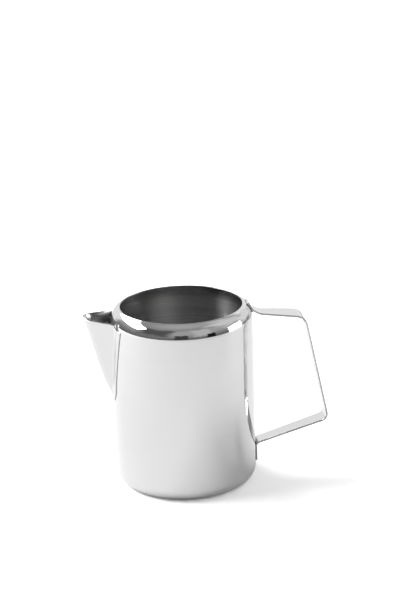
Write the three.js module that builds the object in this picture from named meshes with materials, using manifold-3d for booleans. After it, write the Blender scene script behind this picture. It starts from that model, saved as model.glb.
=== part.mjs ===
// Cream jug of thin bright sheet metal. Millimetres, +Z up. The origin is on the body's axis at the underside
// of the base, the handle points along +X and the spout along -X, and the XZ plane is the plane of symmetry.
import * as THREE from "three";
import { LoftGeometry } from "three/addons/geometries/LoftGeometry.js";
import { mergeVertices } from "three/addons/utils/BufferGeometryUtils.js";
import Module from "manifold-3d";

const SHEET = 0.6; // thickness of body and spout
const FIT = 0.3; // clearance left between neighbouring pieces
const ROUND_SEGMENTS = 72;
const ARC_STEPS = 4; // divisions of each round stretch of a profile, which three.js doubles
const V_STEPS = 12; // and in the round bottom of a V
const WELD = 1e-4; // vertices closer than this are one
const FRONT = { far: -45, near: -20 }; // blocks that cut or trim the wall under the spout run between these
const OVERRUN = 5; // how far a cutting shape is carried past the piece it cuts

const BODY_RADIUS = 37.5;
const BASE_CORNER = 6.1;
const WALL_TOP = 88.7; // the straight wall ends here and the shoulder begins
const SHOULDER_RADIUS = 11; // the shoulder's first bend, up to the tilt below
const SHOULDER_TILT = THREE.MathUtils.degToRad(25);
const RIM_RADIUS = 32.2;
const RIM_TOP = 97.1;

const SPOUT_HALF_ANGLE = THREE.MathUtils.degToRad(29);
const SPOUT_LEVELS = [
  // height, reach of the nose from the body's axis, and radius of the nose
  { z: 50.5, reach: 38.7, nose: 4 },
  { z: 57, reach: 42.1, nose: 6 },
  { z: 92.3, reach: 51.9, nose: 8.3 },
];
const SPOUT_RIM_SLOPE = 0.07; // climb of the spout's rim towards its tip, per millimetre
const SPOUT_INSIDE = 33; // the V's sides are carried this close to the axis before the wall trims them
const NOSE_STEPS = 14;

const FLANGE_TOP = 89.8;
const FLANGE_TOP_HALF = 17.5;
const FLANGE_BOTTOM = 46;
const FLANGE_BOTTOM_RADIUS = 8.7;

const OPENING_TOP = 86;
const OPENING_TOP_HALF = 9.4;
const OPENING_BOTTOM = 57;
const OPENING_BOTTOM_RADIUS = 3.6;

const STRIP = 1; // thickness of the handle
const TAB_LINE = BODY_RADIUS + FIT + STRIP / 2;
const HANDLE_CORNERS = [
  // corners of the strip's middle line in the XZ plane, and the radius of the bend at each
  { x: 34.85, z: 96.6, radius: 0 },
  { x: 36.15, z: 95.6, radius: 7.5 },
  { x: 37.9, z: 92.45, radius: 1.5 },
  { x: 41.2, z: 90.1, radius: 8 },
  { x: 64.9, z: 87.6, radius: 6.1 },
  { x: 77.1, z: 28.6, radius: 4.1 },
  { x: TAB_LINE, z: 16.7, radius: 2.5 },
  { x: TAB_LINE, z: 6.6, radius: 0 },
];
const HANDLE_WIDTHS = [
  // widest under the thumb
  { along: 0, width: 8 },
  { along: 0.24, width: 14.8 },
  { along: 0.66, width: 10.2 },
  { along: 1, width: 8 },
];
const HANDLE_STATIONS = 120;

const BEAD_RADIUS = 0.45; // a run of weld
const BEAD_SIDES = 8;
const BEAD_STEPS = 40;
const SPOUT_BEAD_TOP = 88.8;
const TAB_BEAD_RADIUS = 0.4;
const TAB_BEAD_LENGTH = 6.5;
const UPPER_BEAD = { x: 38.05, z: 90.75 };
const LOWER_BEAD = { x: BODY_RADIUS + FIT + TAB_BEAD_RADIUS, z: 17.8 };

const wasm = await Module();
wasm.setup();

// A closed geometry as a manifold-3d solid.
function toSolid(geometry) {
  const bare = new THREE.BufferGeometry();
  bare.setAttribute("position", geometry.attributes.position);
  bare.setIndex(geometry.index);
  const merged = mergeVertices(bare, WELD);
  const vertProperties = merged.attributes.position.array;
  const triVerts = new Uint32Array(merged.index.array);
  return new wasm.Manifold(new wasm.Mesh({ numProp: 3, vertProperties, triVerts }));
}

function toGeometry(solid) {
  const mesh = solid.getMesh();
  const geometry = new THREE.BufferGeometry();
  geometry.setAttribute("position", new THREE.BufferAttribute(mesh.vertProperties, 3));
  geometry.setIndex(new THREE.BufferAttribute(mesh.triVerts, 1));
  geometry.computeVertexNormals();
  return geometry;
}

// A profile of radius and height, turned round the Z axis. It runs up the outside and back down the inside.
function turned(points) {
  return new THREE.LatheGeometry(points, ROUND_SEGMENTS).rotateX(Math.PI / 2);
}

// A flat outline in Y and Z, made a block along X through the wall under the spout.
function frontBlock(outline) {
  const depth = FRONT.near - FRONT.far;
  const block = new THREE.ExtrudeGeometry(new THREE.Shape(outline), { depth, bevelEnabled: false });
  return toSolid(block.rotateX(Math.PI / 2).rotateZ(Math.PI / 2).translate(FRONT.far, 0, 0));
}

// A round-bottomed V in the YZ plane, from its top corner at -Y down round the bottom to the one at +Y.
function roundedV(top, topHalf, bottom, bottomRadius) {
  const middle = new THREE.Vector2(0, bottom + bottomRadius);
  const corner = new THREE.Vector2(topHalf, top).sub(middle);
  // the arc ends where the straight side from the corner touches the circle
  const end = corner.angle() - Math.acos(bottomRadius / corner.length());
  const start = -Math.PI - end;
  const arc = Array.from({ length: V_STEPS + 1 }, (_, i) => {
    const angle = THREE.MathUtils.lerp(start, end, i / V_STEPS);
    return new THREE.Vector2(Math.cos(angle), Math.sin(angle)).multiplyScalar(bottomRadius).add(middle);
  });
  return [new THREE.Vector2(-topHalf, top), ...arc, new THREE.Vector2(topHalf, top)];
}

// The arc that rounds the corner b between the lines from a and to c.
function bendArc(a, b, c, radius) {
  const back = a.clone().sub(b).normalize();
  const on = c.clone().sub(b).normalize();
  const half = back.angleTo(on) / 2;
  const middle = back.clone().add(on).setLength(radius / Math.sin(half)).add(b);
  const setback = radius / Math.tan(half);
  const from = back.clone().multiplyScalar(setback).add(b).sub(middle);
  const to = on.clone().multiplyScalar(setback).add(b).sub(middle);
  const clockwise = from.cross(to) < 0;
  return { from: from.clone().add(middle), middle, start: from.angle(), end: to.angle(), clockwise };
}

// The body's section: up the outside from the base to the rim, then down the inside. The second bend of
// the shoulder leaves the first one smoothly and ends at the rim.
function body() {
  const edge = BODY_RADIUS - BASE_CORNER;
  const first = new THREE.Vector2(BODY_RADIUS - SHOULDER_RADIUS, WALL_TOP);
  const normal = new THREE.Vector2(Math.cos(SHOULDER_TILT), Math.sin(SHOULDER_TILT));
  const join = normal.clone().multiplyScalar(SHOULDER_RADIUS).add(first);
  const chord = new THREE.Vector2(RIM_RADIUS, RIM_TOP).sub(join);
  const turn = Math.atan2(-chord.x, chord.y) - SHOULDER_TILT;
  const radius = chord.length() / (2 * Math.sin(turn));
  const second = join.clone().sub(normal.clone().multiplyScalar(radius));
  const rimTilt = SHOULDER_TILT + 2 * turn;
  const profile = new THREE.Path();
  profile.moveTo(0, 0);
  profile.lineTo(edge, 0);
  profile.absarc(edge, BASE_CORNER, BASE_CORNER, -Math.PI / 2, 0, false);
  profile.absarc(first.x, first.y, SHOULDER_RADIUS, 0, SHOULDER_TILT, false);
  profile.absarc(second.x, second.y, radius, SHOULDER_TILT, rimTilt, false);
  profile.absarc(second.x, second.y, radius - SHEET, rimTilt, SHOULDER_TILT, true);
  profile.absarc(first.x, first.y, SHOULDER_RADIUS - SHEET, SHOULDER_TILT, 0, true);
  profile.absarc(edge, BASE_CORNER, BASE_CORNER - SHEET, 0, -Math.PI / 2, true);
  profile.lineTo(0, SHEET);
  const wall = toSolid(turned(profile.getPoints(ARC_STEPS)));
  const opening = roundedV(OPENING_TOP, OPENING_TOP_HALF, OPENING_BOTTOM, OPENING_BOTTOM_RADIUS);
  return toGeometry(wall.subtract(frontBlock(opening)));
}

// One level section of the V, its nose towards -X, made smaller all round by inset.
function spoutSection(level, inset, rise) {
  const radius = level.nose - inset;
  const middle = level.reach - level.nose;
  const spread = Math.PI / 2 - SPOUT_HALF_ANGLE;
  const points = [];
  for (let i = 0; i <= NOSE_STEPS; i++) {
    const angle = Math.PI - spread + (2 * spread * i) / NOSE_STEPS;
    points.push(new THREE.Vector2(radius * Math.cos(angle) - middle, radius * Math.sin(angle)));
  }
  const last = points[NOSE_STEPS];
  const along = -SPOUT_INSIDE - last.x;
  const side = last.y - along * Math.tan(SPOUT_HALF_ANGLE);
  points.push(new THREE.Vector2(-SPOUT_INSIDE, side), new THREE.Vector2(-SPOUT_INSIDE, -side));
  return points.map((p) => new THREE.Vector3(p.x, p.y, level.z + rise * (-p.x - BODY_RADIUS)));
}

// The V as a solid block, from its pointed lower end up to its sloping rim.
function vBlock(inset, overrun) {
  const sections = SPOUT_LEVELS.map((level, i) => {
    const atTop = i === SPOUT_LEVELS.length - 1;
    return spoutSection(level, inset, atTop ? SPOUT_RIM_SLOPE : 0);
  });
  if (overrun > 0) {
    const top = sections[sections.length - 1];
    sections.push(top.map((p) => p.clone().setZ(p.z + overrun)));
  }
  return toSolid(new LoftGeometry(sections, { capStart: true, capEnd: true }));
}

// The folded V with a flange bent to the wall all round it, kept clear of the wall by the fit.
function spout() {
  const near = BODY_RADIUS + FIT;
  const low = FLANGE_BOTTOM - OVERRUN;
  const high = RIM_TOP + OVERRUN;
  const band = turned([
    new THREE.Vector2(near, low),
    new THREE.Vector2(near + SHEET, low),
    new THREE.Vector2(near + SHEET, high),
    new THREE.Vector2(near, high),
    new THREE.Vector2(near, low),
  ]);
  const core = turned([
    new THREE.Vector2(0, low),
    new THREE.Vector2(near, low),
    new THREE.Vector2(near, high),
    new THREE.Vector2(0, high),
  ]);
  const outline = roundedV(FLANGE_TOP, FLANGE_TOP_HALF, FLANGE_BOTTOM, FLANGE_BOTTOM_RADIUS);
  const flange = toSolid(band).intersect(frontBlock(outline));
  return toGeometry(vBlock(0, 0).subtract(toSolid(core)).add(flange).subtract(vBlock(SHEET, OVERRUN)));
}

// The strip's width at a share of its length.
function stripWidth(along) {
  const next = HANDLE_WIDTHS.findIndex((knot) => knot.along >= along);
  if (next <= 0) return HANDLE_WIDTHS[0].width;
  const from = HANDLE_WIDTHS[next - 1];
  const to = HANDLE_WIDTHS[next];
  return THREE.MathUtils.mapLinear(along, from.along, to.along, from.width, to.width);
}

// The handle's middle line: straight runs joined by round bends. Its y is the height.
function handleLine() {
  const corners = HANDLE_CORNERS.map((c) => new THREE.Vector2(c.x, c.z));
  const line = new THREE.Path();
  line.moveTo(corners[0].x, corners[0].y);
  for (let i = 1; i < corners.length - 1; i++) {
    const radius = HANDLE_CORNERS[i].radius;
    const bend = bendArc(corners[i - 1], corners[i], corners[i + 1], radius);
    line.lineTo(bend.from.x, bend.from.y);
    line.absarc(bend.middle.x, bend.middle.y, radius, bend.start, bend.end, bend.clockwise);
  }
  line.lineTo(corners.at(-1).x, corners.at(-1).y);
  return line;
}

function handle() {
  const line = handleLine();
  const sections = [];
  for (let i = 0; i <= HANDLE_STATIONS; i++) {
    const along = i / HANDLE_STATIONS;
    const middle = line.getPointAt(along);
    const way = line.getTangentAt(along);
    const out = new THREE.Vector2(-way.y, way.x).multiplyScalar(STRIP / 2);
    const outer = middle.clone().add(out);
    const inner = middle.clone().sub(out);
    const half = stripWidth(along) / 2;
    sections.push([
      new THREE.Vector3(outer.x, -half, outer.y),
      new THREE.Vector3(inner.x, -half, inner.y),
      new THREE.Vector3(inner.x, half, inner.y),
      new THREE.Vector3(outer.x, half, outer.y),
    ]);
  }
  return new LoftGeometry(sections, { capStart: true, capEnd: true });
}

// The run of weld round the edge of the spout's flange, laid on the wall.
function spoutWeld() {
  const beside = FIT + BEAD_RADIUS;
  const outline = roundedV(
    SPOUT_BEAD_TOP,
    FLANGE_TOP_HALF + beside,
    FLANGE_BOTTOM - beside,
    FLANGE_BOTTOM_RADIUS + beside,
  );
  const reach = BODY_RADIUS + beside;
  const onWall = outline.map((p) => new THREE.Vector3(-Math.sqrt(reach ** 2 - p.x ** 2), p.x, p.y));
  const circle = new THREE.Shape().absarc(0, 0, BEAD_RADIUS, 0, 2 * Math.PI, false);
  return new THREE.ExtrudeGeometry(circle, {
    extrudePath: new THREE.CatmullRomCurve3(onWall, false, "centripetal"),
    steps: BEAD_STEPS,
    curveSegments: BEAD_SIDES / 2,
  });
}

// A short run of weld laid across the handle, in the crook between a tab and the body.
function tabWeld(x, z, length) {
  return new THREE.CylinderGeometry(TAB_BEAD_RADIUS, TAB_BEAD_RADIUS, length, BEAD_SIDES).translate(x, 0, z);
}

const polished = { color: 0xd9dadb, roughness: 0.08, metalness: 1 };
const weld = { color: 0xa5a6a7, roughness: 0.4, metalness: 1 };

function piece(name, geometry, finish) {
  const mesh = new THREE.Mesh(geometry, new THREE.MeshStandardMaterial(finish));
  mesh.name = name;
  return mesh;
}

const vessel = new THREE.Group();
vessel.add(piece("body", body(), polished));

const pourer = new THREE.Group();
pourer.add(piece("spout", spout(), polished));
pourer.add(piece("spout_weld", spoutWeld(), weld));

const grip = new THREE.Group();
grip.add(piece("handle", handle(), polished));
grip.add(piece("upper_tab_weld", tabWeld(UPPER_BEAD.x, UPPER_BEAD.z, TAB_BEAD_LENGTH), weld));
grip.add(piece("lower_tab_weld", tabWeld(LOWER_BEAD.x, LOWER_BEAD.z, TAB_BEAD_LENGTH), weld));

const jug = new THREE.Group();
jug.add(vessel, pourer, grip);
export default jug;
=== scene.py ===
from math import atan2, cos, pi, radians, sin, sqrt, tan

import bmesh
import bpy
from mathutils import Matrix, Vector


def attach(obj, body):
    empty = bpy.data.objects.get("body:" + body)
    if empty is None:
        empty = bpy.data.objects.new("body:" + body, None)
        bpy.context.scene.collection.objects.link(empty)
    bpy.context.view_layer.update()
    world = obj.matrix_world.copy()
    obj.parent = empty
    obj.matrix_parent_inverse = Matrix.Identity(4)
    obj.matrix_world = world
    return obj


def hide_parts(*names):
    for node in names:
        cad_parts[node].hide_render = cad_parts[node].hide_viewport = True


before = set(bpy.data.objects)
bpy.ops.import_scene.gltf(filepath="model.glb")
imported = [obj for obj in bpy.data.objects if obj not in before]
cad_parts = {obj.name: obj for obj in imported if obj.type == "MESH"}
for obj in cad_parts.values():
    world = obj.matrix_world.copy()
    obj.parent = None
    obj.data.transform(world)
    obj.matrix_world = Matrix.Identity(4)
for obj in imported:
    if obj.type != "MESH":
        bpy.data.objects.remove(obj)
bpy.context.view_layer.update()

# ---- The table -------------------------------------------------------------------------------
# A white laminate table top, much larger than the jug, with the faintest mottle in its surface.
# The jug stands near its front. Seen straight on it is exposed past white, so only shadow shows on it.
mm = 0.001
table_radius = 1100 * mm
table_top = -0.05 * mm
table_back = 130 * mm

bm = bmesh.new()
bmesh.ops.create_circle(bm, cap_ends=True, segments=96, radius=table_radius)
bmesh.ops.translate(bm, vec=(0, table_back, table_top), verts=bm.verts)
table_mesh = bpy.data.meshes.new("table")
bm.to_mesh(table_mesh)
bm.free()
table = bpy.data.objects.new("table", table_mesh)
bpy.context.scene.collection.objects.link(table)


def new_material(name):
    """A new material, with its node tree and the Principled shader that it starts with."""
    material = bpy.data.materials.new(name)
    material.use_nodes = True
    tree = material.node_tree
    shader = next(n for n in tree.nodes if n.type == "BSDF_PRINCIPLED")
    return material, tree, shader


def add_node(tree, kind, **settings):
    """A node with its properties set by name and its sockets by their labels."""
    node = tree.nodes.new(kind)
    for key, value in settings.items():
        if hasattr(node, key):
            setattr(node, key, value)
        else:
            node.inputs[key.replace("_", " ")].default_value = value
    return node


def grey_of(tree, value):
    """The grey colour that a value from 0 to 1 stands for."""
    colour = add_node(tree, "ShaderNodeCombineColor")
    for channel in ("Red", "Green", "Blue"):
        tree.links.new(value, colour.inputs[channel])
    return colour.outputs["Color"]


def surface_of(tree):
    """The socket that takes the finished surface of a material."""
    return next(n for n in tree.nodes if n.type == "OUTPUT_MATERIAL").inputs["Surface"]


laminate, tree, shader = new_material("white laminate")
shader.inputs["Roughness"].default_value = 0.6
shader.inputs["Specular IOR Level"].default_value = 0.1
place = add_node(tree, "ShaderNodeTexCoord")
mottle = add_node(tree, "ShaderNodeTexNoise", Scale=18.0, Detail=4.0)
shade = add_node(tree, "ShaderNodeMapRange", To_Min=0.88, To_Max=0.9)
tree.links.new(place.outputs["Object"], mottle.inputs["Vector"])
tree.links.new(mottle.outputs["Fac"], shade.inputs["Value"])
tint = grey_of(tree, shade.outputs["Result"])
tree.links.new(tint, shader.inputs["Base Color"])
exposed = add_node(tree, "ShaderNodeVectorMath", operation="SCALE", Scale=1.95)
bleached = add_node(tree, "ShaderNodeBsdfDiffuse")
seen = add_node(tree, "ShaderNodeLightPath")
choose = add_node(tree, "ShaderNodeMixShader")
tree.links.new(tint, exposed.inputs[0])
tree.links.new(exposed.outputs["Vector"], bleached.inputs["Color"])
tree.links.new(seen.outputs["Is Camera Ray"], choose.inputs["Fac"])
tree.links.new(shader.outputs["BSDF"], choose.inputs[1])
tree.links.new(bleached.outputs["BSDF"], choose.inputs[2])
tree.links.new(choose.outputs["Shader"], surface_of(tree))
table_mesh.materials.append(laminate)

# ---- The studio ---------------------------------------------------------------------------------
# A large soft box on the left lights the table, so the shadow falls to the right. Around it stand the
# things the bright metal mirrors: a smaller soft box, pale walls and a reflector, a grey curtain, and
# the dark camera stand and chair. All face the jug, at an azimuth with 0 behind the camera.
def facing_jug(stand, azimuth, elevation, distance):
    """Puts a light or a board at a direction from the jug and turns it to face the jug."""
    around, up = radians(azimuth), radians(elevation)
    way = Vector((sin(around) * cos(up), -cos(around) * cos(up), sin(up)))
    stand.location = way * distance
    stand.rotation_euler = way.to_track_quat("Z", "Y").to_euler()
    bpy.context.scene.collection.objects.link(stand)
    return stand


def soft_box(name, azimuth, elevation, distance, width, height, power):
    """A rectangle of soft light."""
    lamp = bpy.data.lights.new(name, "AREA")
    lamp.shape = "RECTANGLE"
    lamp.size = width
    lamp.size_y = height
    lamp.energy = power
    facing_jug(bpy.data.objects.new(name, lamp), azimuth, elevation, distance)


board_distance = 2.6
board_edge = 0.72


def board(name, azimuth, elevation, wide, high, level, softness):
    """A board wide and high in degrees, with soft uneven edges, that shows only where metal mirrors it."""
    bm = bmesh.new()
    bmesh.ops.create_grid(bm, x_segments=1, y_segments=1, size=1)
    half_wide, half_high = (board_distance * tan(radians(angle / 2)) for angle in (wide, high))
    bmesh.ops.scale(bm, vec=(half_wide, half_high, 1), verts=bm.verts)
    mesh = bpy.data.meshes.new(name)
    bm.to_mesh(mesh)
    bm.free()
    material, tree, shader = new_material(name)
    link = tree.links.new
    where = add_node(tree, "ShaderNodeTexCoord")
    centred = add_node(tree, "ShaderNodeVectorMath", operation="SUBTRACT")
    centred.inputs[1].default_value = (0.5, 0.5, 0)
    off_centre = add_node(tree, "ShaderNodeVectorMath", operation="ABSOLUTE")
    axes = add_node(tree, "ShaderNodeSeparateXYZ")
    farther = add_node(tree, "ShaderNodeMath", operation="MAXIMUM")
    ragged = add_node(tree, "ShaderNodeTexNoise", Scale=3.5, Detail=4.0)
    shifted = add_node(tree, "ShaderNodeMath", operation="MULTIPLY_ADD")
    shifted.inputs[1].default_value = 0.5
    cover = add_node(tree, "ShaderNodeMapRange", From_Min=board_edge, From_Max=board_edge - softness)
    glow = add_node(tree, "ShaderNodeEmission", Strength=level)
    clear = add_node(tree, "ShaderNodeBsdfTransparent")
    mixed = add_node(tree, "ShaderNodeMixShader")
    link(where.outputs["Generated"], centred.inputs[0])
    link(centred.outputs["Vector"], off_centre.inputs[0])
    link(off_centre.outputs["Vector"], axes.inputs["Vector"])
    link(axes.outputs["X"], farther.inputs[0])
    link(axes.outputs["Y"], farther.inputs[1])
    link(where.outputs["Generated"], ragged.inputs["Vector"])
    link(ragged.outputs["Fac"], shifted.inputs[0])
    link(farther.outputs["Value"], shifted.inputs[2])
    link(shifted.outputs["Value"], cover.inputs["Value"])
    link(cover.outputs["Result"], mixed.inputs["Fac"])
    link(clear.outputs["BSDF"], mixed.inputs[1])
    link(glow.outputs["Emission"], mixed.inputs[2])
    link(mixed.outputs["Shader"], surface_of(tree))
    mesh.materials.append(material)
    stand = facing_jug(bpy.data.objects.new(name, mesh), azimuth, elevation, board_distance)
    stand.visible_camera = stand.visible_diffuse = stand.visible_shadow = False


soft_box("left soft box", -122, 43, 2.0, 2.5, 0.8, 54)
soft_box("right soft box", 89, 9, 1.4, 0.75, 0.48, 5)
for name, azimuth, elevation, wide, high, level, softness in (
    ("backdrop", 180, 22, 100, 60, 0.95, 0.2),
    ("right wall", 98, 46, 64, 60, 0.72, 0.3),
    ("right of the backdrop", 124, 17, 48, 36, 0.85, 0.2),
    ("near reflector", 28, 30, 34, 50, 0.55, 0.2),
    ("grey curtain", -54, 34, 66, 54, 0.1, 0.25),
    ("camera stand", -6, 9, 24, 24, 0.06, 0.06),
    ("chair", 42, 7, 16, 20, 0.01, 0.06),
):
    board(name, azimuth, elevation, wide, high, level, softness)

world = bpy.data.worlds.new("grey room")
bpy.context.scene.world = world
world.use_nodes = True
tree = world.node_tree
tree.nodes.clear()
sky = add_node(tree, "ShaderNodeTexCoord")
axes = add_node(tree, "ShaderNodeSeparateXYZ")
height = add_node(tree, "ShaderNodeValToRGB")
tree.links.new(sky.outputs["Generated"], axes.inputs["Vector"])
tree.links.new(axes.outputs["Z"], height.inputs["Fac"])
ramp = height.color_ramp
ramp.elements[0].position = 0.0
ramp.elements[0].color = (0.15, 0.15, 0.15, 1)
ramp.elements[1].position = 1.0
ramp.elements[1].color = (0.46, 0.46, 0.46, 1)
for stop, level in ((0.1, 0.22), (0.35, 0.4), (0.6, 0.42), (0.85, 0.3)):
    step = ramp.elements.new(stop)
    step.color = (level, level, level, 1)
room = add_node(tree, "ShaderNodeBackground")
fill = add_node(tree, "ShaderNodeBackground", Strength=0.4)
behind = add_node(tree, "ShaderNodeBackground", Strength=1.2)
path = add_node(tree, "ShaderNodeLightPath")
glossy_or_fill = add_node(tree, "ShaderNodeMixShader")
camera_or_rest = add_node(tree, "ShaderNodeMixShader")
world_out = add_node(tree, "ShaderNodeOutputWorld")
for background in (fill, behind):
    background.inputs["Color"].default_value = (1, 1, 1, 1)
tree.links.new(height.outputs["Color"], room.inputs["Color"])
tree.links.new(path.outputs["Is Glossy Ray"], glossy_or_fill.inputs["Fac"])
tree.links.new(fill.outputs["Background"], glossy_or_fill.inputs[1])
tree.links.new(room.outputs["Background"], glossy_or_fill.inputs[2])
tree.links.new(path.outputs["Is Camera Ray"], camera_or_rest.inputs["Fac"])
tree.links.new(glossy_or_fill.outputs["Shader"], camera_or_rest.inputs[1])
tree.links.new(behind.outputs["Background"], camera_or_rest.inputs[2])
tree.links.new(camera_or_rest.outputs["Shader"], world_out.inputs["Surface"])
bpy.context.scene.view_settings.view_transform = "Standard"

# ---- The camera -------------------------------------------------------------------------------
# A long lens on a camera some 80 cm off. It looks down at the jug a little, with the handle on its
# right, and is tipped a degree or two to one side on its stand.
heading, pitch, roll = radians(5.617), radians(18.114), radians(-1.876)
camera_spot = (-64.2 * mm, -755.6 * mm, 346.9 * mm)
camera_data = bpy.data.cameras.new("camera")
camera_data.sensor_width = 36
camera_data.lens = 91.36
camera = bpy.data.objects.new("camera", camera_data)
camera.matrix_world = (
    Matrix.Translation(camera_spot)
    @ Matrix.Rotation(-heading, 4, "Z")
    @ Matrix.Rotation(pi / 2 - pitch, 4, "X")
    @ Matrix.Rotation(roll, 4, "Z")
)
bpy.context.scene.collection.objects.link(camera)
bpy.context.scene.camera = camera

# ---- The body ---------------------------------------------------------------------------------
# One piece of 0.6 mm stainless sheet, deep drawn: a flat base, a round base edge, a straight wall, and
# a round shoulder rolled in to the mouth. The wall has an opening behind the spout. It is polished to
# a mirror outside and left satin inside, with the marks of the brush running round. The inside is also
# given a much darker grey than the outside, as painted shade in the hollow.
sheet = 0.6 * mm
body_radius = 37.5 * mm
base_corner = 6.1 * mm
wall_top = 88.7 * mm
shoulder_radius = 11 * mm
shoulder_tilt = radians(25)
mouth = Vector((32.2 * mm, 97.1 * mm))
lip_round = 0.15 * mm
round_steps = 288
sharp_angle = radians(35)
core_height = 50 * mm
brush_depth = 0.06 * mm


def polished_metal(name, tone, roughness, brush_scale, brush_strength, streaks=0.01, brushed_round=0):
    """Bright sheet: fine polishing lines, faint cloudy patches and a scatter of hairline scratches."""
    material, tree, shader = new_material(name)
    link = tree.links.new
    shader.inputs["Metallic"].default_value = 1
    shader.inputs["Anisotropic"].default_value = brushed_round
    shader.inputs["Anisotropic Rotation"].default_value = 0.25
    round_axis = add_node(tree, "ShaderNodeTangent", direction_type="RADIAL", axis="Z")
    link(round_axis.outputs["Tangent"], shader.inputs["Tangent"])
    where = add_node(tree, "ShaderNodeTexCoord")
    cloud = add_node(tree, "ShaderNodeTexNoise", Scale=45.0, Detail=3.0)
    cloud_tone = add_node(tree, "ShaderNodeMapRange", To_Min=tone * 0.97, To_Max=tone * 1.02)
    stretch = add_node(tree, "ShaderNodeMapping")
    stretch.inputs["Scale"].default_value = brush_scale
    brush = add_node(tree, "ShaderNodeTexNoise", Scale=1.0, Detail=5.0, Roughness=0.6)
    rough = add_node(tree, "ShaderNodeMapRange", To_Min=roughness * 0.8, To_Max=roughness * 1.2)
    streak = add_node(tree, "ShaderNodeMapRange", From_Min=0.3, From_Max=0.7,
                      To_Min=1 - streaks, To_Max=1 + streaks)
    streaked = add_node(tree, "ShaderNodeMath", operation="MULTIPLY")
    hair = add_node(tree, "ShaderNodeTexVoronoi", feature="DISTANCE_TO_EDGE", Scale=260.0)
    hair_line = add_node(tree, "ShaderNodeMapRange", From_Max=0.015, To_Min=-0.35, To_Max=0.0)
    relief = add_node(tree, "ShaderNodeMath", operation="ADD")
    bump = add_node(tree, "ShaderNodeBump", Strength=brush_strength, Distance=brush_depth)
    link(where.outputs["Object"], cloud.inputs["Vector"])
    link(cloud.outputs["Fac"], cloud_tone.inputs["Value"])
    link(brush.outputs["Fac"], streak.inputs["Value"])
    link(cloud_tone.outputs["Result"], streaked.inputs[0])
    link(streak.outputs["Result"], streaked.inputs[1])
    link(grey_of(tree, streaked.outputs["Value"]), shader.inputs["Base Color"])
    link(where.outputs["Object"], stretch.inputs["Vector"])
    link(stretch.outputs["Vector"], brush.inputs["Vector"])
    link(brush.outputs["Fac"], rough.inputs["Value"])
    link(rough.outputs["Result"], shader.inputs["Roughness"])
    link(stretch.outputs["Vector"], hair.inputs["Vector"])
    link(hair.outputs["Distance"], hair_line.inputs["Value"])
    link(brush.outputs["Fac"], relief.inputs[0])
    link(hair_line.outputs["Result"], relief.inputs[1])
    link(relief.outputs["Value"], bump.inputs["Height"])
    link(bump.outputs["Normal"], shader.inputs["Normal"])
    return material


mirror = polished_metal("mirror polished steel", 0.74, 0.06, (30, 30, 700), 0.015)
# The satin inside gets a far darker grey than the mirror outside: painted shade on top of the real
# brushing.
satin_and_painted_shade = polished_metal("satin brushed steel", 0.48, 0.3, (14, 14, 2500), 1, 0.14, 1)


def in_order(bm):
    """The mesh's parts numbered by where they lie, so that they come out alike each time."""
    for parts, place in (
        (bm.verts, lambda vert: tuple(vert.co)),
        (bm.edges, lambda edge: sorted(vert.index for vert in edge.verts)),
        (bm.faces, lambda face: sorted(vert.index for vert in face.verts)),
    ):
        for number, part in enumerate(sorted(parts, key=place)):
            part.index = number
        parts.sort()


def add_piece(name, bm, materials, *nodes):
    """The mesh as a named piece of the jug in place of CAD nodes, shaded smooth but for its sharp edges."""
    in_order(bm)
    for face in bm.faces:
        face.smooth = True
    for edge in bm.edges:
        edge.smooth = not (len(edge.link_faces) == 2 and edge.calc_face_angle() > sharp_angle)
    mesh = bpy.data.meshes.new(name)
    bm.to_mesh(mesh)
    bm.free()
    for material in materials:
        mesh.materials.append(material)
    piece = bpy.data.objects.new(name, mesh)
    bpy.context.scene.collection.objects.link(piece)
    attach(piece, "root")
    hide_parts(*nodes)
    return piece


def straight_on(bm, last, points):
    """The section carried on from its last vertex through points given as radius and height."""
    for radius, height in points:
        vert = bm.verts.new((radius, 0, height))
        bm.edges.new((last, vert))
        last = vert
    return last


def bend_on(bm, last, centre, angle, steps):
    """The section carried on from its last vertex along an arc round a centre, towards the axis."""
    arc = bmesh.ops.spin(bm, geom=[last], cent=(centre.x, 0, centre.y), axis=(0, -1, 0), angle=angle,
                         steps=steps)
    return next(v for v in arc["geom_last"] if isinstance(v, bmesh.types.BMVert))


def turn(bm):
    """The section in the bmesh turned once round the jug's axis."""
    bmesh.ops.spin(bm, geom=bm.verts[:] + bm.edges[:], cent=(0, 0, 0), axis=(0, 0, 1), angle=2 * pi,
                   steps=round_steps, use_merge=True)
    bmesh.ops.remove_doubles(bm, verts=bm.verts, dist=0.001 * mm)
    bmesh.ops.recalc_face_normals(bm, faces=bm.faces)


def cut_across(bm, point, normal, faces):
    """New edges where a plane crosses the faces."""
    edges = list(dict.fromkeys(e for f in faces for e in f.edges))
    verts = list(dict.fromkeys(v for f in faces for v in f.verts))
    bmesh.ops.bisect_plane(bm, geom=faces + edges + verts, dist=0.0001 * mm, plane_co=point,
                           plane_no=normal)


def thicken(bm, thickness):
    """The shell given its thickness on the side away from its normals."""
    bmesh.ops.solidify(bm, geom=bm.faces[:], thickness=thickness)


def round_over(bm, sharper_than, above, offset, segments):
    """The edges that are sharper than an angle and above a height, rounded over."""
    edges = [e for e in bm.edges if len(e.link_faces) == 2 and e.calc_face_angle() > sharper_than
             and min(v.co.z for v in e.verts) > above]
    bmesh.ops.bevel(bm, geom=edges, affect="EDGES", offset=offset, segments=segments, profile=0.5,
                    material=-1)


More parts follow.
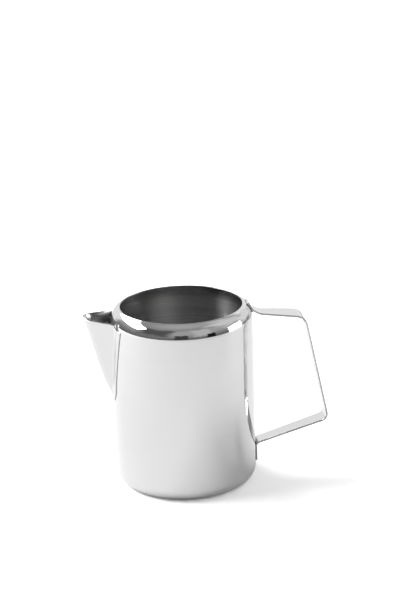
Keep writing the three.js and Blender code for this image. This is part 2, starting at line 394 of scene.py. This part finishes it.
bm = bmesh.new()
middle_of_base = bm.verts.new((0, 0, 0))
last = straight_on(bm, middle_of_base, [(body_radius - base_corner, 0)])
last = bend_on(bm, last, Vector((body_radius - base_corner, base_corner)), pi / 2, 24)
wall_heights = (base_corner + 0.2 * mm, 30 * mm, 60 * mm, wall_top - 0.2 * mm, wall_top)
last = straight_on(bm, last, [(body_radius, height) for height in wall_heights])
first_centre = Vector((body_radius - shoulder_radius, wall_top))
last = bend_on(bm, last, first_centre, shoulder_tilt, 16)
tilted = Vector((cos(shoulder_tilt), sin(shoulder_tilt)))
chord = mouth - (first_centre + tilted * shoulder_radius)
half_turn = atan2(-chord.x, chord.y) - shoulder_tilt
mouth_radius = chord.length / (2 * sin(half_turn))
second_centre = first_centre + tilted * (shoulder_radius - mouth_radius)
bend_on(bm, last, second_centre, 2 * half_turn, 24)
turn(bm)

opening_top, opening_bottom = 86 * mm, 55 * mm
opening_top_half, opening_slope = 9.4 * mm, 0.25
spout_side = -30 * mm
planes = [((0, 0, opening_top), (0, 0, 1)), ((0, 0, opening_bottom), (0, 0, 1)),
          ((0, opening_top_half, opening_top), (0, 1, -opening_slope)),
          ((0, -opening_top_half, opening_top), (0, 1, opening_slope))]
for point, normal in planes:
    front = [f for f in bm.faces if f.calc_center_median().x < spout_side and f.normal.x < -0.5]
    cut_across(bm, point, normal, front)
cut_away = []
for face in bm.faces:
    middle = face.calc_center_median()
    half = opening_top_half - opening_slope * (opening_top - middle.z)
    if middle.x < spout_side and opening_bottom < middle.z < opening_top and abs(middle.y) < half:
        cut_away.append(face)
bmesh.ops.delete(bm, geom=cut_away, context="FACES")
thicken(bm, sheet)
round_over(bm, radians(60), wall_top, lip_round, 3)
for face in bm.faces:
    middle = face.calc_center_median()
    to_core = Vector((-middle.x, -middle.y, core_height - middle.z))
    face.material_index = 1 if face.normal.dot(to_core) > 0 else 0
body = add_piece("drawn_body", bm, (mirror, satin_and_painted_shade), "body")

# ---- The spout --------------------------------------------------------------------------------
# One blank of the same sheet, folded to a V round a nose and bedded on the outside of the wall over
# the opening. Its edge is bent flat to the wall as a flange, with a soft fold between side and flange.
# It is polished outside and satin inside, and its rim is dressed where the blank was cut. Its inside
# and its rim are given darker greys than the outside, as painted shade.
nose_half_angle = radians(29)
spout_bottom = 46 * mm
spout_bottom_radius = 8.7 * mm
spout_side_angle = radians(77.3)
spout_top_half = 17.6 * mm
rim_height = 92.44 * mm
rim_climb = 1.16 * mm
rim_climb_half = 10.5 * mm
rim_shoulder = 12 * mm
rim_fall = 3.3 * mm
rim_fall_over = 3.9 * mm
rim_bottom = 89 * mm
flange_edge = 0.22 * mm
flange_feather = 1.4 * mm
flange_fold = 1.1 * mm
knee_height = 57 * mm
knee_reach = 42.05 * mm
knee_blend = 0.8 * mm
slope_below_knee, slope_above_knee = 0.523, 0.262
flare_start = 90 * mm
flare = 20
foot_height = 50.5 * mm
nose_at_foot, nose_at_knee = 4 * mm, 6 * mm
nose_growth_below_knee, nose_growth_above_knee = 0.31, 0.065


def smooth_max(a, b, blend):
    """The larger of the two, rounded over where they cross."""
    return (a + b + sqrt((a - b) ** 2 + blend ** 2)) / 2


def rim_line(y):
    """The rim's height across the spout: highest at the tip, falling away over the flange."""
    climb = rim_climb * max(0, 1 - (y / rim_climb_half) ** 2)
    share = min(1, max(0, (abs(y) - rim_shoulder) / rim_fall_over))
    return rim_height + climb - rim_fall * share ** 2 * (3 - 2 * share)


def nose_line(z):
    """How far the nose stands from the jug's axis at a height: steep at its foot, and flared at its tip."""
    above = z - knee_height
    line = -smooth_max(-knee_reach - slope_above_knee * above, -knee_reach - slope_below_knee * above,
                       knee_blend)
    return line + flare * max(0, z - flare_start) ** 2


def nose_radius(z):
    """The radius of the nose at a height: it grows fast from the foot to the knee and slowly above."""
    if z < knee_height:
        return nose_at_foot + nose_growth_below_knee * (z - foot_height)
    return nose_at_knee + nose_growth_above_knee * (z - knee_height)


def spout_front(y, z):
    """The distance of the spout's outside from the plane through the jug's axis."""
    nose = nose_radius(z)
    nose_centre = nose_line(z) - nose
    side_start = nose * cos(nose_half_angle)
    if abs(y) < side_start:
        return nose_centre + sqrt(nose ** 2 - y ** 2)
    return nose_centre + nose * sin(nose_half_angle) - (abs(y) - side_start) / tan(nose_half_angle)


def flange_outline(across):
    """The foot and the top of the spout at a share of its half width, as distance across and height."""
    turned_by = spout_side_angle * across
    foot = Vector((sin(turned_by), 1 - cos(turned_by))) * spout_bottom_radius + Vector((0, spout_bottom))
    half = spout_top_half * across
    return foot, Vector((half, rim_line(half)))


bm = bmesh.new()
bmesh.ops.create_grid(bm, x_segments=170, y_segments=150, size=1)
for vert in bm.verts:
    across, up = vert.co.x, (vert.co.y + 1) / 2
    foot, top = flange_outline(across)
    y, z = foot.lerp(top, up)
    from_side = (1 - abs(across)) * y / across if across else 1
    from_foot = up * (top.y - foot.y)
    ground = min(1, min(from_side, from_foot) / flange_feather)
    on_wall = body_radius + flange_edge + (sheet - flange_edge) * ground * (2 - ground)
    wall = sqrt(on_wall ** 2 - y ** 2)
    vert.co = (-smooth_max(wall, spout_front(y, z), flange_fold), y, z)
bmesh.ops.recalc_face_normals(bm, faces=bm.faces)
if sum(f.normal.x for f in bm.faces) > 0:
    bmesh.ops.reverse_faces(bm, faces=bm.faces)
thicken(bm, sheet)
round_over(bm, radians(55), rim_bottom, lip_round, 3)
# The spout's inside is given a darker grey than its outside, as painted shade in the channel.
spout_inside_and_painted_shade = polished_metal("satin steel of the spout", 0.4, 0.24, (14, 14, 2500), 0.3, 0.08)
# The dressed edges get a darker grey than the mirror, as painted shade on the spout's rim and the strip's
# edges.
cut_edge_and_painted_shade = polished_metal("dressed cut edge and painted shade", 0.55, 0.2, (300, 300, 300), 0.03)
# The rim's top faces take the darker dressed-edge grey and the inside the darker satin grey, both as
# painted shade.
for face in bm.faces:
    on_edge = face.normal.z > 0.6 and face.calc_center_median().z > rim_bottom - 0.5 * mm
    face.material_index = 2 if on_edge else 1 if face.normal.x > 0.2 else 0
spout = add_piece("folded_spout", bm, (mirror, spout_inside_and_painted_shade, cut_edge_and_painted_shade), "spout")

# ---- The weld round the spout -------------------------------------------------------------------
# A fine bead of weld that joins the flange to the wall. It runs up both sides and a little way over the
# top corners, is ground nearly flush, and is a darker grey than the sheet.
bead_radius = 0.22 * mm
bead_stand_off = 0.05 * mm
foot_share = 0.55
corner_run = (16.9 * mm, 16.2 * mm, 15.6 * mm)
ripple_depth = 0.1 * mm


def weld_metal(name, tone):
    """Weld as it sets: soft ripples, a dull skin, and a darker grey that varies at random."""
    material, tree, shader = new_material(name)
    link = tree.links.new
    shader.inputs["Metallic"].default_value = 1
    where = add_node(tree, "ShaderNodeTexCoord")
    ripple = add_node(tree, "ShaderNodeTexNoise", Scale=900.0, Detail=3.0)
    tones = add_node(tree, "ShaderNodeMapRange", To_Min=tone * 0.6, To_Max=tone * 1.3)
    rough = add_node(tree, "ShaderNodeMapRange", To_Min=0.25, To_Max=0.5)
    bump = add_node(tree, "ShaderNodeBump", Strength=0.5, Distance=ripple_depth)
    link(where.outputs["Object"], ripple.inputs["Vector"])
    link(ripple.outputs["Fac"], tones.inputs["Value"])
    link(grey_of(tree, tones.outputs["Result"]), shader.inputs["Base Color"])
    link(ripple.outputs["Fac"], rough.inputs["Value"])
    link(rough.outputs["Result"], shader.inputs["Roughness"])
    link(ripple.outputs["Fac"], bump.inputs["Height"])
    link(bump.outputs["Normal"], shader.inputs["Normal"])
    return material


weld = weld_metal("dull weld", 0.35)


def weld_bead(name, points, radius, *nodes):
    """A round bead of weld laid along points on the jug, with thinner ends."""
    curve = bpy.data.curves.new(name, "CURVE")
    curve.dimensions = "3D"
    curve.bevel_depth = radius
    curve.bevel_resolution = 3
    curve.use_fill_caps = True
    spline = curve.splines.new("POLY")
    spline.points.add(len(points) - 1)
    for i, (spot, point) in enumerate(zip(spline.points, points)):
        spot.co = (*point, 1)
        spot.radius = 0.5 if i in (0, len(points) - 1) else 1
    holder = bpy.data.objects.new(name, curve)
    bpy.context.scene.collection.objects.link(holder)
    bm = bmesh.new()
    bm.from_mesh(holder.evaluated_get(bpy.context.evaluated_depsgraph_get()).to_mesh())
    bpy.data.objects.remove(holder)
    bpy.data.curves.remove(curve)
    bmesh.ops.remove_doubles(bm, verts=bm.verts, dist=0.001 * mm)
    bmesh.ops.recalc_face_normals(bm, faces=bm.faces)
    return add_piece(name, bm, (weld,), *nodes)


def on_body(y, z, stand_off=0):
    """A point on the spout's side of the wall."""
    return Vector((-sqrt((body_radius + stand_off) ** 2 - y ** 2), y, z))


seam = []
for i in range(-60, 61):
    share = i / 60
    foot, top = flange_outline(max(-1, min(1, share / foot_share)))
    y, z = foot.lerp(top, max(0, (abs(share) - foot_share) / (1 - foot_share)))
    seam.append(on_body(y, z, bead_stand_off))
left_corner = [on_body(-y, rim_line(y)) for y in corner_run[::-1]]
right_corner = [on_body(y, rim_line(y)) for y in corner_run]
seam = left_corner + seam + right_corner
spout_weld = weld_bead("spout_seam", seam, bead_radius, "spout_weld")

# ---- The handle -------------------------------------------------------------------------------
# One strip of 1 mm steel, cut wider where the thumb rests and narrower at both ends, then bent over
# formers. A tab at each end is dished to the round of the body and welded to it. The faces are polished,
# and the cut edges rounded over and dressed. The edges are also given a darker grey than the faces, as
# painted shade.
strip = 1 * mm
strip_edge = 0.38 * mm
lower_tab_line = body_radius + strip / 2
handle_corners = [
    (34.55 * mm, 96.5 * mm, 0),
    (35.85 * mm, 95.45 * mm, 7.2 * mm),
    (37.6 * mm, 92.2 * mm, 1.5 * mm),
    (41.2 * mm, 90.1 * mm, 8 * mm),
    (64.9 * mm, 87.6 * mm, 6.1 * mm),
    (77.1 * mm, 28.6 * mm, 4.1 * mm),
    (lower_tab_line, 16.7 * mm, 2.5 * mm),
    (lower_tab_line, 6.6 * mm, 0),
]
handle_widths = [(0, 8 * mm), (0.24, 15 * mm), (0.66, 11 * mm), (1, 8.6 * mm)]
upper_tab_ends, lower_tab_ends = 6 * mm, 9 * mm
dish_blend = 3 * mm
taper_ease = (-0.02, -0.01, 0, 0.01, 0.02)


def bend_strip():
    """The strip's middle line as straight and round stretches: length, start, heading and curvature."""
    stretches = []
    place = Vector(handle_corners[0][:2])
    for i in range(1, len(handle_corners)):
        corner = Vector(handle_corners[i][:2])
        way = (corner - Vector(handle_corners[i - 1][:2])).normalized()
        setback = turn_by = radius = 0
        if i < len(handle_corners) - 1:
            radius = handle_corners[i][2]
            on = (Vector(handle_corners[i + 1][:2]) - corner).normalized()
            turn_by = atan2(way.x * on.y - way.y * on.x, way.dot(on))
            setback = radius * tan(abs(turn_by) / 2)
        straight_end = corner - way * setback
        stretches.append(((straight_end - place).length, place, atan2(way.y, way.x), 0))
        if turn_by:
            bend = 1 / radius if turn_by > 0 else -1 / radius
            stretches.append((radius * abs(turn_by), straight_end, atan2(way.y, way.x), bend))
            place = corner + on * setback
    return stretches


def on_strip(stretches, along):
    """The point and the heading at a length along the strip."""
    for length, start, heading, curvature in stretches:
        if along <= length or (length, start, heading, curvature) == stretches[-1]:
            if not curvature:
                return start + Vector((cos(heading), sin(heading))) * along, heading
            turned = heading + along * curvature
            shift = Vector((sin(turned) - sin(heading), cos(heading) - cos(turned))) / curvature
            return start + shift, turned
        along -= length


def strip_width(share):
    """The strip's width at a share of its length, in straight tapers from one width to the next."""
    for (a, wide_a), (b, wide_b) in zip(handle_widths, handle_widths[1:]):
        if share <= b:
            return wide_a + (wide_b - wide_a) * (share - a) / (b - a)
    return handle_widths[-1][1]


stretches = bend_strip()
strip_length = sum(s[0] for s in stretches)
bm = bmesh.new()
bmesh.ops.create_grid(bm, x_segments=520, y_segments=12, size=1)
for vert in bm.verts:
    share = (vert.co.x + 1) / 2
    along = share * strip_length
    point, heading = on_strip(stretches, along)
    eased_width = sum(strip_width(min(1, max(0, share + step))) for step in taper_ease) / len(taper_ease)
    y = vert.co.y * eased_width / 2
    into_top = (upper_tab_ends - along) / dish_blend
    into_low = (along - (strip_length - lower_tab_ends - dish_blend)) / dish_blend
    dish = max(0, min(1, max(into_top, into_low)))
    point += Vector((-sin(heading), cos(heading))) * strip / 2
    x = point.x + dish * (sqrt(point.x ** 2 - y ** 2) - point.x)
    vert.co = (x, y, point.y)
bm.normal_update()
top_face = max(bm.faces, key=lambda face: abs(face.normal.z))
if top_face.normal.z < 0:
    bmesh.ops.reverse_faces(bm, faces=bm.faces)
thicken(bm, strip)
round_over(bm, radians(60), 0, strip_edge, 4)
for face in bm.faces:
    # The strip's edges take the darker dressed-edge grey, as painted shade.
    face.material_index = 1 if abs(face.normal.y) > 0.35 else 0
handle = add_piece("bent_handle", bm, (mirror, cut_edge_and_painted_shade), "handle")

# ---- The welds at the tabs ----------------------------------------------------------------------
# A short bead of weld in the crook under the upper tab and over the lower one. It has run a little way
# along the strip and is left as it set.
half_run = 3.2 * mm
tab_bead_radius = 0.35 * mm
for tab, x, z in (("upper_tab", 37.5 * mm, 91.2 * mm), ("lower_tab", 37.85 * mm, 17.5 * mm)):
    run = [Vector((sqrt(x ** 2 - y ** 2), y, z)) for y in (half_run * k / 8 for k in range(-8, 9))]
    bead = weld_bead(tab + "_bead", run, tab_bead_radius, tab + "_weld")
